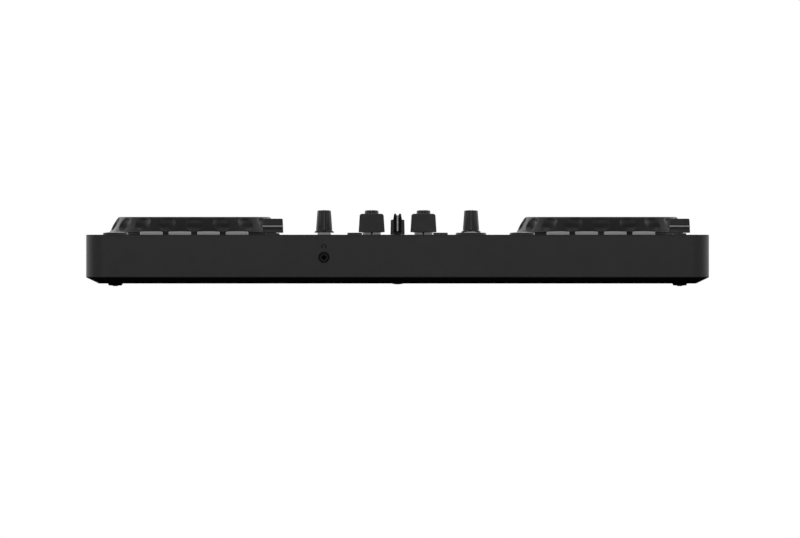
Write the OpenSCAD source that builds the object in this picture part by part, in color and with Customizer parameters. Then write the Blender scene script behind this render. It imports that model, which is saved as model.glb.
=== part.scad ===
// Compact two-deck DJ controller: a shallow case with two jog wheels, sixteen pads,
// a two-channel mixer strip, a headphone jack in front and sockets in a bay at the back.
// Millimetres. Origin on the table under the middle of the case, +X right, +Y back, +Z up.

/* [Case] */
// Width of the case
case_w = 392; // [390:1:400]
// Depth of the case, front to back
case_d = 208; // [206:1:214]
// Radius of the case's corners, seen from above
corner_r = 12; // [11:0.5:14]
// Height of the panel's top face above the table
panel_top = 32.4; // [32:0.1:33.4]
// Height of the flat underside above the table
case_low = 1.65; // [1.4:0.05:1.9]
// How far the bevel round the base runs in
bevel_in = 8.1; // [6:0.1:8.5]
// How far the bevel round the base rises
bevel_up = 3.9; // [3:0.1:4.5]
// Thickness of the case walls
wall = 2.4; // [2:0.1:2.6]
// Height of the panel's exposed edge
panel_edge = 0.8; // [0.6:0.1:1.2]

/* [Decks] */
// Distance of each deck's centre line from the middle
deck_x = 128; // [127:0.5:129]
// How far back the jog wheels' centres lie
jog_y = 36; // [34:1:40]
// Radius of the jog wheel at its top edge
jog_top_r = 47.6; // [46:0.1:48]
// Radius of the jog wheel at its foot
jog_foot_r = 53; // [52:0.1:54]
// Height of the jog wheel's top above the panel
jog_rise = 11.2; // [10:0.1:12]
// Finger dimples round each jog wheel
dimples = 18; // [12:1:20]
// Distance of the play and tempo columns from the deck's centre line
side_x = 49.5; // [49:0.1:50]

/* [Pads] */
// Width of each pad
pad_w = 14.2; // [13:0.1:14.6]
// Distance from pad to pad
pad_pitch = 18; // [17.6:0.1:18.4]
// How far each pad stands out of the panel
pad_rise = 2; // [1.6:0.1:2.4]
// Place of the front row of pads
pad_front_y = -87; // [-88:0.5:-86]

/* [Mixer] */
// Distance of the channel strips from the middle
strip_x = 16.3; // [16:0.1:17]
// Distance of the outer columns from the middle
outer_x = 46.2; // [45:0.1:47]
// Travel of every fader
fader_travel = 45; // [40:1:45]
// Place of the crossfader and the buttons beside it
cross_y = -84; // [-85:0.5:-83]
// Top of the knobs above the panel
knob_rise = 15.6; // [14:0.1:17]
// Flutes round each knob
flutes = 12; // [8:1:14]

/* [Travel] */
// Depth that the buttons and pads press down
press = 0.8; // [0.5:0.1:0.8]

/* [Hidden] */
$fn = 64;

// Every gap between a moving piece and its surround
gap = 0.35;
// Radial clearance of a shaft that turns in a bore
running = 0.05;

panel_under = panel_top - 2.4;
floor_t = 2.2;
floor_top = case_low + floor_t;
wall_top = panel_top - panel_edge;
board_t = 1.6;
board_top = panel_top - 8.4;
board_low = board_top - board_t;
post_top = board_low - 0.5;

flange_top = panel_under - gap;
flange_t = 1.2;
plunger_low = flange_top - flange_t - 0.7;
switch_h = plunger_low - press - 0.3 - board_top;

pad_rows = [pad_front_y + pad_pitch, pad_front_y];
play_y = pad_rows[1];
cue_y = pad_rows[0];
sync_y = -49;
shift_y = -34;
tempo_y = -64;
channel_y = -35;
channel_cue_y = 2;
load_y = 62;
knob_ys = [26, 50, 74];
outer_ys = [50, 74];

jog_inner_r = jog_foot_r - 4.5;

round_collar_r = 8;
round_cap_r = 6.25;
smart_collar_r = 9.65;
smart_cap_r = 5.6;
collar_rise = 1.3;

knob_shaft_r = 3;
lever_x = 1.2;
lever_y = 4;

jack_x = -46.4;
jack_z = 18;
jack_bore_r = 1.8;
jack_board_top = jack_z - 4.7;

bay_half = 50;
bay_depth = 10;
bay_z = [9, 27];
bay_back = case_d / 2 - bay_depth;
io_board_top = 12;
socket_z = 18;
rca_xs = [24, 40];
usb_x = -12;
lock_x = -36;

foot_x = 177.6;
foot_y = 86;
screw_spots = [
    for (s = [-1, 1])
        for (p = [[166, -50], [62, -92], [158, 92], [62, 84]])
            [s * p[0], p[1]]
];

sides = ["l", "r"];
bands = ["low", "mid", "high"];
outer_knobs = [["headphone_mix_knob", -1, 0], ["headphone_level_knob", -1, 1],
               ["master_level_knob", 1, 0], ["browse_knob", 1, 1]];

function sign_of(s) = s == "l" ? -1 : 1;
function deck_at(s) = sign_of(s) * deck_x;
function strip_at(s) = sign_of(s) * strip_x;
function pad_spot(s, i) = [deck_at(s) + ((i - 1) % 4 - 1.5) * pad_pitch, pad_rows[i > 4 ? 1 : 0]];
function play_spot(s) = [deck_at(s) - side_x, play_y];
function cue_spot(s) = [deck_at(s) - side_x, cue_y];
function sync_spot(s) = [deck_at(s) - side_x, sync_y];
function shift_spot(s) = [deck_at(s) - side_x, shift_y];
function tempo_spot(s) = [deck_at(s) + side_x, tempo_y];
function channel_spot(s) = [strip_at(s), channel_y];
function channel_cue_spot(s) = [strip_at(s), channel_cue_y];
function load_spot(s) = [sign_of(s) * 27, load_y];
function outer_spot(k) = [k[1] * outer_x, outer_ys[k[2]]];
smart_spot = [outer_x, cross_y];
master_cue_spot = [-outer_x, cross_y];
cross_spot = [0, cross_y];

pad_size = [pad_w, pad_w];
channel_cue_size = [11.4, 6];
master_cue_size = [8.4, 6];
load_size = [9.2, 9];
small_cap_r = 4.4;
tempo_rim = [8.4, fader_travel + 10];
tempo_rim_rise = 0.95;

knob_spots = concat(
    [for (s = sides) for (y = knob_ys) [strip_at(s), y]],
    [for (k = outer_knobs) outer_spot(k)]
);
switch_spots = concat(
    [for (s = sides) for (i = [1:8]) pad_spot(s, i)],
    [for (s = sides) each [play_spot(s), cue_spot(s), sync_spot(s), shift_spot(s),
                           channel_cue_spot(s), load_spot(s)]],
    [smart_spot, master_cue_spot]
);

function arc(centre, r, from, to, steps) =
    [for (i = [0:steps]) let (a = from + (to - from) * i / steps) centre + r * [cos(a), sin(a)]];

// ---- shared shapes ----

module rounded_rect(w, d, r) {
    square([w - 2 * r, d], center = true);
    square([w, d - 2 * r], center = true);
    for (x = [-1, 1]) for (y = [-1, 1])
        translate([x * (w / 2 - r), y * (d / 2 - r)]) circle(r);
}

module slab(w, d, r, low, high) {
    translate([0, 0, low]) linear_extrude(high - low) rounded_rect(w, d, r);
}

// A box with round plan corners and a bevel round its base
module tub(w, d, r, low, high) {
    slab(w, d, r, low + bevel_up, high);
    rotate([90, 0, 90]) linear_extrude(w - 2 * r, center = true) base_profile(d, low);
    rotate([90, 0, 0]) linear_extrude(d - 2 * r, center = true) base_profile(w, low);
    for (x = [-1, 1]) for (y = [-1, 1])
        translate([x * (w / 2 - r), y * (d / 2 - r), low])
            cylinder(h = bevel_up, r1 = r - bevel_in, r2 = r);
}

module base_profile(span, low) {
    half = span / 2;
    polygon([[bevel_in - half, low], [half - bevel_in, low],
             [half, low + bevel_up], [-half, low + bevel_up]]);
}

// Flange under the panel and the plunger that meets the switch
module button_foot(flange) {
    translate([0, 0, flange_top - flange_t]) linear_extrude(flange_t)
        rounded_rect(flange[0], flange[1], 1);
    translate([0, 0, plunger_low]) cylinder(h = flange_top - flange_t - plunger_low + 0.1, r = 1.5);
}

// Square-cornered button: a cap through the panel, softened at its top edge
module key(spot, size, rise, r) {
    top = panel_top + rise;
    translate([spot[0], spot[1], 0]) {
        slab(size[0], size[1], r, flange_top - 0.1, top - 0.4);
        slab(size[0] - 0.5, size[1] - 0.5, r - 0.2, top - 0.5, top);
        button_foot(size + [1.8, 1.8]);
    }
}

// Round button with a slightly domed top
module round_key(spot, r, rise, dome_r) {
    top = panel_top + rise;
    translate([spot[0], spot[1], 0]) {
        intersection() {
            translate([0, 0, flange_top - 0.1]) cylinder(h = top - flange_top + 0.1, r = r);
            translate([0, 0, top - dome_r]) sphere(dome_r, $fn = 128);
        }
        translate([0, 0, flange_top - flange_t]) cylinder(h = flange_t, r = r + 0.9);
        translate([0, 0, plunger_low])
            cylinder(h = flange_top - flange_t - plunger_low + 0.1, r = 1.5);
    }
}

module key_hole(spot, size, r) {
    translate([spot[0], spot[1], 0])
        slab(size[0] + 2 * gap, size[1] + 2 * gap, r + gap, panel_under - 1, panel_top + 3);
}

module round_hole(spot, r) {
    translate([spot[0], spot[1], panel_under - 1]) cylinder(h = 8, r = r + gap);
}

// Raised ring round a button, with a bevelled outer edge
module collar(spot, r) {
    translate([spot[0], spot[1], panel_top - 0.4]) {
        cylinder(h = collar_rise - 0.1, r = r);
        translate([0, 0, collar_rise - 0.1]) cylinder(h = 0.5, r1 = r, r2 = r - 0.5);
    }
}

// Raised ring on the panel that fills the space inside the jog wheel's foot
module jog_seat(s) {
    translate([deck_at(s), jog_y, panel_top - 0.4]) difference() {
        cylinder(h = 2.4, r = jog_inner_r - 0.6);
        translate([0, 0, -1]) cylinder(h = 5, r = jog_inner_r - 3.6);
    }
}

module lever_slot(spot, along_x) {
    long = fader_travel + lever_y + 2;
    translate([spot[0], spot[1], panel_under - 1])
        rotate([0, 0, along_x ? 90 : 0]) linear_extrude(5)
            rounded_rect(lever_x + 0.9, long, (lever_x + 0.8) / 2);
}

// ---- case ----

module top_panel() {
    inset = wall + 0.2;
    color("#232427") difference() {
        union() {
            slab(case_w, case_d, corner_r, wall_top, panel_top);
            slab(case_w - 2 * inset, case_d - 2 * inset, corner_r - inset, panel_under, wall_top);
            for (s = sides) {
                collar(play_spot(s), round_collar_r);
                collar(cue_spot(s), round_collar_r);
                jog_seat(s);
                translate([tempo_spot(s)[0], tempo_spot(s)[1], 0])
                    slab(tempo_rim[0], tempo_rim[1], 1, panel_top - 0.4, panel_top + tempo_rim_rise);
            }
            collar(smart_spot, smart_collar_r);
            for (p = screw_spots) translate([p[0], p[1], 0]) {
                translate([0, 0, board_top]) cylinder(h = panel_under - board_top + 0.5, r = 4);
                translate([0, 0, post_top]) cylinder(h = board_top - post_top, r = 2.8);
            }
        }
        for (s = sides) {
            for (i = [1:8]) key_hole(pad_spot(s, i), pad_size, 1.5);
            round_hole(play_spot(s), round_cap_r);
            round_hole(cue_spot(s), round_cap_r);
            round_hole(sync_spot(s), small_cap_r);
            round_hole(shift_spot(s), small_cap_r);
            key_hole(channel_cue_spot(s), channel_cue_size, 1);
            key_hole(load_spot(s), load_size, 1);
            lever_slot(tempo_spot(s), false);
            lever_slot(channel_spot(s), false);
            translate([deck_at(s), jog_y, panel_under - 1]) cylinder(h = 5, r = 6);
        }
        round_hole(smart_spot, smart_cap_r);
        key_hole(master_cue_spot, master_cue_size, 1);
        lever_slot(cross_spot, true);
        for (p = knob_spots)
            translate([p[0], p[1], panel_under - 1]) cylinder(h = 5, r = knob_shaft_r + 0.8);
        for (p = screw_spots)
            translate([p[0], p[1], post_top - 1]) cylinder(h = 7.6, r = 1.5);
    }
}

module bottom_case() {
    color("#2b2c2f") difference() {
        union() {
            difference() {
                tub(case_w, case_d, corner_r, case_low, wall_top);
                tub(case_w - 2 * wall, case_d - 2 * wall, corner_r - wall, floor_top, wall_top + 9);
            }
            translate([-bay_half - wall, bay_back - wall, bay_z[0] - wall])
                cube([2 * (bay_half + wall), bay_depth + wall - 1, bay_z[1] - bay_z[0] + 2 * wall]);
            for (p = screw_spots)
                translate([p[0], p[1], case_low + 0.5]) cylinder(h = post_top - case_low - 0.5, r = 4.5);
            for (x = [-6, 6])
                translate([jack_x + x, -84, case_low + 0.5])
                    cylinder(h = jack_board_top - board_t - case_low - 0.5, r = 2);
            for (x = [-46, 46])
                translate([x, 77, case_low + 0.5])
                    cylinder(h = io_board_top - board_t - case_low - 0.5, r = 2.5);
        }
        translate([-bay_half, bay_back, bay_z[0]])
            cube([2 * bay_half, bay_depth + 1, bay_z[1] - bay_z[0]]);
        for (x = rca_xs)
            translate([x, bay_back + 1, socket_z]) rotate([90, 0, 0]) cylinder(h = wall + 2, r = 5.3);
        translate([usb_x - 4.8, bay_back - wall - 1, io_board_top - 0.2]) cube([9.6, wall + 2, 3.9]);
        translate([lock_x - 3.5, bay_back - wall - 1, socket_z - 1.5]) cube([7, wall + 2, 3]);
        translate([jack_x, -case_d / 2 + wall + 1, jack_z]) rotate([90, 0, 0])
            cylinder(h = wall + 2, r = 3.45);
        for (p = screw_spots) translate([p[0], p[1], 0]) {
            cylinder(h = 14, r = 3.1);
            cylinder(h = panel_top, r = 1.7);
        }
    }
}

module rubber_feet() {
    dome_low = 1.1;
    dome_mid = 1.35;
    color("#101112") {
        for (x = [-1, 1]) for (y = [-1, 1]) translate([x * foot_x, y * foot_y, 0]) {
            translate([0, 0, 0.4]) cylinder(h = case_low - 0.4, r1 = 3.9, r2 = 4.65);
            cylinder(h = 0.6, r = 1.6);
        }
        translate([0, 0, dome_mid]) cylinder(h = case_low - dome_mid, r1 = 3, r2 = 3.8);
        translate([0, 0, dome_low]) cylinder(h = dome_mid - dome_low, r1 = 1.6, r2 = 3);
    }
}

module case_screws() {
    color("#6d6f73") for (p = screw_spots) translate([p[0], p[1], 0]) difference() {
        union() {
            translate([0, 0, 11.6]) cylinder(h = 2.4, r = 2.8);
            translate([0, 0, 13.9]) cylinder(h = 13.5, r = 1.5);
        }
        translate([0, 0, 11]) cylinder(h = 2, r = 1.15, $fn = 6);
    }
}

// ---- inside ----

module circuit_boards() {
    color("#1f4a33") {
        difference() {
            translate([-188, -98, board_low]) cube([376, 186, board_t]);
            for (p = screw_spots) translate([p[0], p[1], board_low - 1]) cylinder(h = 4, r = 3.1);
        }
        for (p = switch_spots)
            translate([p[0] - 3, p[1] - 3, board_top]) cube([6, 6, switch_h]);
        translate([jack_x - 8, -100.5, jack_board_top - board_t]) cube([16, 20, board_t]);
        translate([-50, 72, io_board_top - board_t]) cube([100, 19, board_t]);
    }
}

// Slide pot: a long body with an open channel for the lever
module fader_unit(spot, along_x) {
    h = 5.2;
    long = fader_travel + 14;
    translate([spot[0], spot[1], board_top]) rotate([0, 0, along_x ? 90 : 0]) difference() {
        translate([-4, -long / 2, 0]) cube([8, long, h]);
        translate([-1.4, -fader_travel / 2 - 3, 1.2])
            cube([2.8, fader_travel + 6, h]);
    }
}

module fader_units() {
    color("#8f9296") {
        fader_unit(cross_spot, true);
        for (s = sides) {
            fader_unit(tempo_spot(s), false);
            fader_unit(channel_spot(s), false);
        }
    }
}

module pot_bodies() {
    color("#7c7f84") for (p = knob_spots) translate([p[0], p[1], board_top]) difference() {
        translate([-4.8, -5.4, 0]) cube([9.6, 10.8, 5.2]);
        translate([0, 0, 0.8]) cylinder(h = 6, r = knob_shaft_r + running);
    }
}

module headphone_jack() {
    front = -case_d / 2;
    color("#17181a") translate([jack_x, front, jack_z]) difference() {
        union() {
            translate([-6, wall + 0.6, jack_board_top - jack_z]) cube([12, 14, 8.2]);
            rotate([-90, 0, 0]) cylinder(h = wall + 1, r = 3.35);
        }
        translate([0, -1, 0]) rotate([-90, 0, 0]) cylinder(h = 15, r = jack_bore_r);
    }
}

module rca_sockets() {
    color("#9b9da1") for (x = rca_xs) translate([x, 0, socket_z]) difference() {
        union() {
            translate([-6, bay_back - wall - 12.2, io_board_top - socket_z]) cube([12, 12, 10]);
            translate([0, bay_back - wall - 0.4, 0]) rotate([-90, 0, 0])
                cylinder(h = wall + 0.4, r = 5.1);
            translate([0, bay_back - 0.1, 0]) rotate([-90, 0, 0]) cylinder(h = 9.1, r = 4.15);
        }
        translate([0, bay_back - 3, 0]) rotate([-90, 0, 0]) cylinder(h = 14, r = 1.65);
    }
}

module usb_port() {
    low = io_board_top;
    color("#b4b6ba") translate([usb_x, bay_back, low]) rotate([90, 0, 0]) difference() {
        translate([0, 1.63, 0]) linear_extrude(9.5) rounded_rect(8.94, 3.26, 1.6);
        difference() {
            translate([0, 1.63, -1]) linear_extrude(8) rounded_rect(8.34, 2.56, 1.25);
            translate([-3.3, 1.28, -0.6]) cube([6.6, 0.7, 9]);
        }
    }
}

// Fixed posts that the jog wheels turn on, with a retaining cap
module jog_bearings() {
    color("#a9abae") for (s = sides) translate([deck_at(s), jog_y, panel_top]) {
        translate([0, 0, -4.4]) cylinder(h = 4.5, r = 5.9);
        cylinder(h = 1, r = 14);
        translate([0, 0, 0.9]) cylinder(h = 6.4, r = 4);
        translate([0, 0, 7.2]) cylinder(h = 1, r = 6);
    }
}

// ---- jog wheels ----

// Half section of the rim, hub and web
module jog_section() {
    foot = 0.3;
    groove_top = 1.2;
    slope = jog_foot_r - jog_top_r;
    polygon([[jog_inner_r, foot], [jog_foot_r - 1.2, foot], [jog_foot_r - 1.2, groove_top],
             [jog_foot_r - 0.3, groove_top], [jog_foot_r, groove_top + 0.4],
             [jog_foot_r - 0.1, groove_top + 1.2], [jog_foot_r - 0.5, groove_top + 1.6],
             [jog_foot_r - slope * 0.42, jog_rise * 0.55],
             [jog_top_r + slope * 0.16, jog_rise - 1.1], [jog_top_r, jog_rise - 0.25],
             [jog_top_r - 0.4, jog_rise], [jog_top_r - 1.8, jog_rise],
             [jog_top_r - 1.8, jog_rise - 2.5], [jog_top_r - 4.2, jog_rise - 2.5],
             [jog_top_r - 4.2, 6.2], [8, 6.2], [8, 6.6], [4 + running, 6.6],
             [4 + running, 1.4], [8, 1.4], [8, 4.2], [jog_inner_r, 4.2]]);
}

module jog_ring(s) {
    scoop_r = 9;
    scoop_depth = 1.2;
    lean = atan2(jog_foot_r - jog_top_r, jog_rise);
    color("#3a3b3e") translate([deck_at(s), jog_y, panel_top]) difference() {
        rotate_extrude($fn = 180) jog_section();
        for (i = [0:dimples - 1]) rotate([0, 0, i * 360 / dimples - 90])
            translate([(jog_foot_r + jog_top_r) / 2, 0, jog_rise * 0.6])
                rotate([0, -lean, 0]) translate([scoop_r - scoop_depth, 0, 0])
                    sphere(scoop_r, $fn = 72);
    }
}

module jog_plate(s) {
    r = jog_top_r - 2;
    color("#1c1d1f") translate([deck_at(s), jog_y, panel_top + jog_rise - 2.5]) {
        cylinder(h = 2.1, r = r);
        cylinder(h = 2.3, r = r - 3);
    }
}

// ---- caps that slide ----

module lever(spot, along_x) {
    low = board_top + 1.7;
    translate([spot[0], spot[1], low]) rotate([0, 0, along_x ? 90 : 0])
        translate([-lever_x / 2, -lever_y / 2, 0]) cube([lever_x, lever_y, panel_top + 2.5 - low]);
}

// Cap made where a front profile and a side profile cross
module crossed_cap(spot, reach) {
    translate([spot[0], spot[1], panel_top]) intersection() {
        rotate([90, 0, 0]) linear_extrude(reach, center = true) children(0);
        rotate([90, 0, 90]) linear_extrude(reach, center = true) children(1);
    }
}

function bevel_block(base, top, low, high, r) = concat(
    [[-base / 2, low], [base / 2, low]],
    arc([top / 2 - r, high - r], r, 0, 90, 5),
    arc([r - top / 2, high - r], r, 90, 180, 5)
);

module channel_cap(s) {
    top = 13.2;
    color("#1b1c1e") {
        crossed_cap(channel_spot(s), 30) {
            polygon(bevel_block(16.5, 15.2, 1.5, top, 1.6));
            difference() {
                polygon(bevel_block(10.5, 8.2, 1.5, top, 0.8));
                translate([0, top + 6.4]) circle(7.2);
            }
        }
        lever(channel_spot(s), false);
    }
}

module crossfader_cap() {
    low = 0.12;
    top = 13.4;
    step = 9.4;
    valley = top - 1.3;
    color("#1b1c1e") {
        difference() {
            crossed_cap(cross_spot, 40) {
                polygon(concat([[-4.5, low], [4.5, low], [4.3, step - 0.2], [4.1, step],
                                [2.75, step + 0.1]],
                               arc([1.55, top - 0.75], 0.75, 0, 140, 4),
                               [[0.5, valley], [-0.5, valley]],
                               arc([-1.55, top - 0.75], 0.75, 40, 180, 4),
                               [[-2.75, step + 0.1], [-4.1, step], [-4.3, step - 0.2]]));
                polygon(bevel_block(17, 15, low, top, 1.5));
            }
            for (y = [-9, 9])
                translate([cross_spot[0], cross_spot[1] + y, panel_top + 1])
                    cube([4.6, 11, 2.3], center = true);
        }
        lever(cross_spot, true);
    }
}

module tempo_cap(s) {
    low = tempo_rim_rise + 0.2;
    top = 10.1;
    color("#1b1c1e") {
        crossed_cap(tempo_spot(s), 30) {
            polygon(bevel_block(13.2, 12.5, low, top, 0.8));
            difference() {
                polygon([[-5.6, low], [5.6, low], [5.4, 3.5], [3.8, 3.5], [3.8, 4.8], [5.6, 4.8],
                         [5.6, 5.7], [5, 6], [4.2, top], [-4.2, top], [-5, 6], [-5.6, 5.7],
                         [-5.6, 4.8], [-3.8, 4.8], [-3.8, 3.5], [-5.4, 3.5]]);
                translate([0, top + 7.2]) circle(8);
            }
        }
        lever(tempo_spot(s), false);
    }
}

// ---- knobs ----

module knob(spot) {
    skirt_low = 1.2;
    grip_low = 2.5;
    crown = knob_rise - 0.7;
    base_r = 5.1;
    top_r = 4.25;
    lean = atan((base_r - top_r) / (crown - grip_low));
    translate([spot[0], spot[1], panel_top]) {
        difference() {
            union() {
                translate([0, 0, grip_low]) cylinder(h = crown - grip_low, r1 = base_r, r2 = top_r);
                translate([0, 0, crown]) cylinder(h = 0.3, r1 = top_r, r2 = top_r - 0.4);
                translate([0, 0, crown + 0.3]) cylinder(h = 0.4, r1 = top_r - 0.4, r2 = 1.2);
            }
            for (i = [0:flutes - 1]) rotate([0, 0, (i + 0.5) * 360 / flutes])
                translate([base_r + 0.55, 0, grip_low + 0.4]) rotate([0, -lean, 0])
                    cylinder(h = knob_rise, r = 0.95);
            translate([-0.4, top_r - 2.6, knob_rise - 0.3]) cube([0.8, 4, 1]);
        }
        translate([0, 0, skirt_low]) cylinder(h = 0.9, r1 = 6.3, r2 = 6.05);
        translate([0, 0, skirt_low + 0.9]) cylinder(h = 0.5, r1 = 6.05, r2 = base_r);
        translate([0, 0, board_top + 1.2 - panel_top])
            cylinder(h = panel_top - board_top + 0.4, r = knob_shaft_r);
    }
}

// ---- placed pieces ----

module pad(s, i) color("#8b8c8d") key(pad_spot(s, i), pad_size, pad_rise, 1.5);

module play_button(s) color("#47494c") round_key(play_spot(s), round_cap_r, collar_rise + 0.5, 40);

module cue_button(s) color("#47494c") round_key(cue_spot(s), round_cap_r, collar_rise + 0.5, 40);

module sync_button(s) color("#303235") round_key(sync_spot(s), small_cap_r, 1.1, 30);

module shift_button(s) color("#303235") round_key(shift_spot(s), small_cap_r, 1.1, 30);

module load_button(s) color("#303235") key(load_spot(s), load_size, 1.3, 1);

module channel_cue_button(s)
    color("#8b8c8d") key(channel_cue_spot(s), channel_cue_size, 1.2, 1);

module master_cue_button() color("#737476") key(master_cue_spot, master_cue_size, 1.3, 1);

module smart_button() color("#8b8c8d") round_key(smart_spot, smart_cap_r, 1.9, 18);

module band_knob(s, row) color("#26272a") knob([strip_at(s), knob_ys[row]]);

module outer_knob(k) color("#26272a") knob(outer_spot(k));

top_panel();
bottom_case();
rubber_feet();
case_screws();
circuit_boards();
fader_units();
pot_bodies();
headphone_jack();
rca_sockets();
usb_port();
jog_bearings();
crossfader_cap();
smart_button();
master_cue_button();
for (k = outer_knobs) outer_knob(k);
for (s = sides) {
    for (i = [1:8]) pad(s, i);
    for (b = [0:2]) band_knob(s, b);
    jog_ring(s);
    jog_plate(s);
    tempo_cap(s);
    channel_cap(s);
    play_button(s);
    cue_button(s);
    sync_button(s);
    shift_button(s);
    load_button(s);
    channel_cue_button(s);
}
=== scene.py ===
import math

import bmesh
import bpy
from mathutils import Matrix, Vector


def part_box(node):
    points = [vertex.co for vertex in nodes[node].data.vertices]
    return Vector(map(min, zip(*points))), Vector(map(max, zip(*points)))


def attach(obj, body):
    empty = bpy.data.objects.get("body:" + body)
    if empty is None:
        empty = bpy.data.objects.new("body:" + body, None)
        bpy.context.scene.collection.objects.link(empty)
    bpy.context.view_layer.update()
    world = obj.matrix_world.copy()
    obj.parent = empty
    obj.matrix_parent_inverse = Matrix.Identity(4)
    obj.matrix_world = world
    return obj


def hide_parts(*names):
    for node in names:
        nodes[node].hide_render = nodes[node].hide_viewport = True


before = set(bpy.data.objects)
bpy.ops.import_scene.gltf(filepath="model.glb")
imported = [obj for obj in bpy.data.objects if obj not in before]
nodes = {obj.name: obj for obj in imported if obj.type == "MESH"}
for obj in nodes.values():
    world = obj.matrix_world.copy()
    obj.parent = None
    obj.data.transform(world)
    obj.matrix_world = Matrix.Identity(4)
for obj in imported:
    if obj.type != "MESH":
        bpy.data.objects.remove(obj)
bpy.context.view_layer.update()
mm = 0.001  # every size below is in millimetres until it reaches a mesh
sides = {"l": -1, "r": 1}


def middleOf(node):
    low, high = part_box(node)
    return (low + high) / 2 / mm


def topOf(node):
    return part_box(node)[1].z / mm


def spanOf(node):
    return [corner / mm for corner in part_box(node)]


panel = {"edge": 0.8, "thickness": 2.4}  # the edge is what shows above the case walls
seamHeight = topOf("bottom_case")
panelTop = seamHeight + panel["edge"]
panelUnder = panelTop - panel["thickness"]

# Camera, light and floor

studio = {
    "viewWidth": 503.5, "aimX": 1.53, "aimZ": 10.8, "cameraBack": 2.0,
    "backdrop": 1.0,  # what the camera sees
    # Light from the white sweep behind and round the front, strongest low down, none above glowTop
    "backGlow": 2.3, "frontGlow": 1.08, "glowTop": (0.15, 0.62), "dimSky": 0.1,
    "frontPower": 3.6, "topPower": 8.0,
    "floorSize": 6.0, "floorTone": 0.82, "floorGlow": 0.32,
}


def makeCamera(s):
    data = bpy.data.cameras.new("camera")
    data.type = "ORTHO"
    data.ortho_scale = s["viewWidth"] * mm
    camera = bpy.data.objects.new("camera", data)
    camera.location = (s["aimX"] * mm, -s["cameraBack"], s["aimZ"] * mm)
    camera.rotation_euler = (math.radians(90), 0, 0)
    bpy.context.scene.collection.objects.link(camera)
    bpy.context.scene.camera = camera


def softbox(name, place, aim, size, power):
    data = bpy.data.lights.new(name, "AREA")
    data.shape = "RECTANGLE"
    data.size, data.size_y = size
    data.energy = power
    lamp = bpy.data.objects.new(name, data)
    lamp.location = place
    lamp.rotation_euler = (Vector(aim) - Vector(place)).to_track_quat("-Z", "Y").to_euler()
    bpy.context.scene.collection.objects.link(lamp)


def makeWorld(s):
    # White for the camera. For light: a low bright sweep, dim elsewhere, nothing from below.
    world = bpy.data.worlds.new("studioSky")
    world.use_nodes = True
    tree = world.node_tree
    tree.nodes.clear()
    link = tree.links.new
    direction = tree.nodes.new("ShaderNodeTexCoord")
    parts = tree.nodes.new("ShaderNodeSeparateXYZ")
    link(direction.outputs["Generated"], parts.inputs[0])

    def ramp(axis, start, end, low, high):
        node = tree.nodes.new("ShaderNodeMapRange")
        node.interpolation_type = "SMOOTHSTEP"
        for label, value in (("From Min", start), ("From Max", end),
                             ("To Min", low), ("To Max", high)):
            node.inputs[label].default_value = value
        link(parts.outputs[axis], node.inputs["Value"])
        return node.outputs["Result"]

    def combine(operation, first, second):
        node = tree.nodes.new("ShaderNodeMath")
        node.operation = operation
        link(first, node.inputs[0])
        link(second, node.inputs[1])
        return node.outputs[0]

    glow = combine("MULTIPLY", ramp("Y", -0.12, 0.1, s["frontGlow"], s["backGlow"]),
                   ramp("Z", *s["glowTop"], 1, 0))
    lit = combine("MULTIPLY", combine("ADD", glow, ramp("Z", 0, 1, s["dimSky"], s["dimSky"] * 2)),
                  ramp("Z", -0.01, 0.03, 0, 1))
    path = tree.nodes.new("ShaderNodeLightPath")
    mixer = tree.nodes.new("ShaderNodeMix")
    mixer.data_type = "FLOAT"
    mixer.inputs[3].default_value = s["backdrop"]
    background = tree.nodes.new("ShaderNodeBackground")
    background.inputs["Color"].default_value = (1, 1, 1, 1)
    output = tree.nodes.new("ShaderNodeOutputWorld")
    link(path.outputs["Is Camera Ray"], mixer.inputs[0])
    link(lit, mixer.inputs[2])
    link(mixer.outputs[0], background.inputs["Strength"])
    link(background.outputs[0], output.inputs["Surface"])
    bpy.context.scene.world = world


def makeFloor(s):
    half = s["floorSize"] / 2
    mesh = bpy.data.meshes.new("floor")
    mesh.from_pydata([(-half, -half, 0), (half, -half, 0), (half, half, 0), (-half, half, 0)], [],
                     [(0, 1, 2, 3)])
    floor = bpy.data.objects.new("floor", mesh)
    floor.location.z = -0.0002
    material = bpy.data.materials.new("paleFloor")
    material.use_nodes = True
    shader = material.node_tree.nodes["Principled BSDF"]
    shader.inputs["Base Color"].default_value = (s["floorTone"],) * 3 + (1,)
    shader.inputs["Roughness"].default_value = 0.7
    shader.inputs["Emission Color"].default_value = (1, 1, 1, 1)
    shader.inputs["Emission Strength"].default_value = s["floorGlow"]
    mesh.materials.append(material)
    bpy.context.scene.collection.objects.link(floor)
    floor.visible_diffuse = False  # the floor throws no light up under the case
    floor.visible_glossy = False


makeCamera(studio)
makeWorld(studio)
makeFloor(studio)
softbox("frontLight", (0, -2.4, 0.5), (0, 0, 0.02), (2.4, 0.9), studio["frontPower"])
softbox("topLight", (0, 0.7, 1.9), (0, 0, 0), (1.8, 1.0), studio["topPower"])
bpy.context.scene.view_settings.view_transform = "Standard"
print("studio ready")

# Shared surface effects


def newGroup(name, inputs, outputs):
    group = bpy.data.node_groups.new(name, "ShaderNodeTree")
    for label, value in inputs:
        socket = group.interface.new_socket(label, in_out="INPUT", socket_type="NodeSocketFloat")
        socket.default_value = value
    for label in outputs:
        group.interface.new_socket(label, in_out="OUTPUT", socket_type="NodeSocketFloat")
    return group, group.nodes.new("NodeGroupInput"), group.nodes.new("NodeGroupOutput")


def addNode(tree, kind, settings=None, **values):
    node = tree.nodes.new(kind)
    for key, value in (settings or {}).items():
        setattr(node, key, value)
    for key, value in values.items():
        node.inputs[key].default_value = value
    return node


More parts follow.
